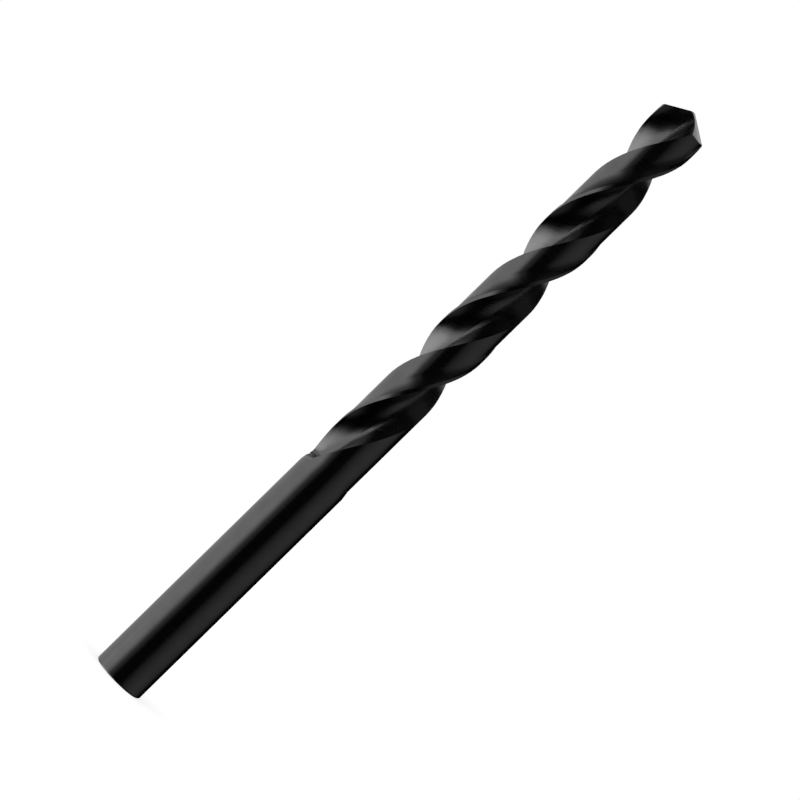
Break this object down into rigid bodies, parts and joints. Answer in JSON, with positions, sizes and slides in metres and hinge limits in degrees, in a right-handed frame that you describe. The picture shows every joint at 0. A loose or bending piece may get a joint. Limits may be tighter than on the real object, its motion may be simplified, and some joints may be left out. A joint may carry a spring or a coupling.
{
  "type": "twist drill bit",
  "caption": "Right-hand twist drill with a plain straight shank, helical flutes with narrow margins, and a relieved conical point, in blackened steel.",
  "frame": {"origin": "centre of the flat end of the shank, on the surface the drill stands on", "axes": "+Z along the drill's axis from the shank end to the point; +X to the right and +Y away from the viewer in the picture, with the drill turned upright"},
  "size_m": [0.0085, 0.0084, 0.117],
  "materials": {
    "black_oxide_steel": "high speed steel ground all over, then steam tempered to a satin black oxide"
  },
  "bodies": {
    "root": {"twist_drill": "black_oxide_steel"}
  },
  "joints": []
}
